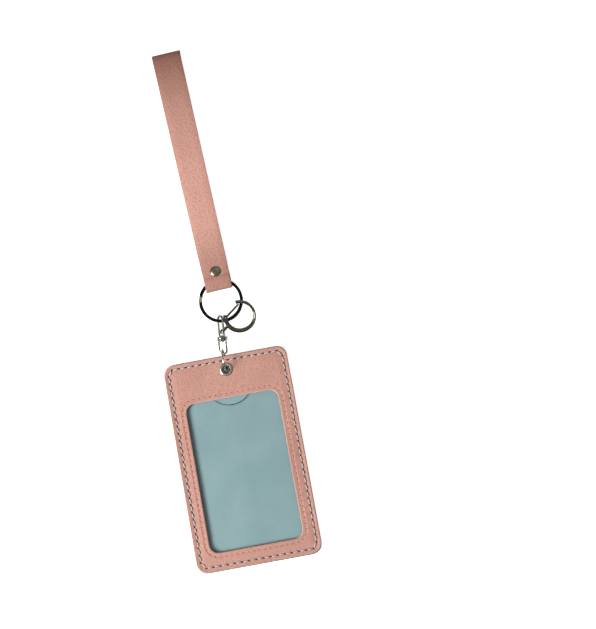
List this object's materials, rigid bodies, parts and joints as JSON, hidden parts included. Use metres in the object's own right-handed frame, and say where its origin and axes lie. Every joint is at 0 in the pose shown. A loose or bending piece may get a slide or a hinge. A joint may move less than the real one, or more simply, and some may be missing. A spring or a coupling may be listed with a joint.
{
  "type": "id badge wallet",
  "caption": "Upright leather badge wallet with a clear card window, an eyelet, jump ring and swivel, a split ring, a wire-gate clasp and a riveted wrist strap.",
  "frame": {"origin": "centre of the wallet on the rear face of its back panel", "axes": "+Y up the wallet towards the eyelet and strap, +Z out of the window, +X to the right"},
  "size_m": [0.07, 0.2937, 0.0128],
  "materials": {
    "pink_leather": "pebbled, matt",
    "strap_leather": "fine grain, matt",
    "lining": "satin",
    "clear_film": "clear, gloss",
    "nickel": "nickel plate",
    "gunmetal": "dark plate, gloss",
    "black_nickel": "black nickel"
  },
  "bodies": {
    "wallet": {"front_panel": "pink_leather", "front_lining": "lining", "window_film": "clear_film", "back_lining": "lining", "back_panel": "pink_leather", "eyelet": "nickel", "eyelet_washer": "nickel"},
    "jump_ring": {"jump_ring": "nickel"},
    "swivel_lower": {"swivel_lower_loop": "nickel", "swivel_pin": "nickel"},
    "swivel_upper": {"swivel_upper_loop": "nickel"},
    "clasp": {"clasp_body": "gunmetal"},
    "gate": {"clasp_gate": "gunmetal"},
    "key_ring": {"split_ring": "black_nickel"},
    "strap": {"wrist_strap": "strap_leather", "rivet_post": "nickel", "rivet_cap": "nickel"}
  },
  "joints": [
    {"name": "jump_ring_turn", "type": "hinge", "parent": "wallet", "child": "jump_ring", "pos_m": [0, 0.0556, 0.0064], "axis": [1, 0, 0], "range_deg": [0, 110]},
    {"name": "swivel_yaw", "type": "hinge", "parent": "jump_ring", "child": "swivel_lower", "pos_m": [0, 0.06062, 0.0033], "axis": [0, 0, 1], "range_deg": [-20, 30]},
    {"name": "swivel_spin", "type": "hinge", "parent": "swivel_lower", "child": "swivel_upper", "pos_m": [0.00065, 0.06771, 0.0033], "axis": [0.0767, 0.9971, 0], "continuous": true},
    {"name": "clasp_swing", "type": "hinge", "parent": "swivel_upper", "child": "clasp", "pos_m": [0.00249, 0.07228, 0.00519], "axis": [-0.0767, -0.9971, 0], "range_deg": [0, 105]},
    {"name": "gate_open", "type": "hinge", "parent": "clasp", "child": "gate", "pos_m": [0.00477, 0.0786, 0.00688], "axis": [-0.1545, 0.2676, -0.9511], "range_deg": [0, 30], "stiffness_Nm_per_rad": 0.004, "springref_deg": -11.46},
    {"name": "key_ring_turn", "type": "hinge", "parent": "swivel_upper", "child": "key_ring", "pos_m": [0.00379, 0.08912, 0.0033], "axis": [0, 0, 1], "range_deg": [-30, 75]},
    {"name": "strap_flap", "type": "hinge", "parent": "key_ring", "child": "strap", "pos_m": [0.00395, 0.09898, 0.0033], "axis": [0.999, 0.0454, 0], "range_deg": [-6, 6]}
  ]
}
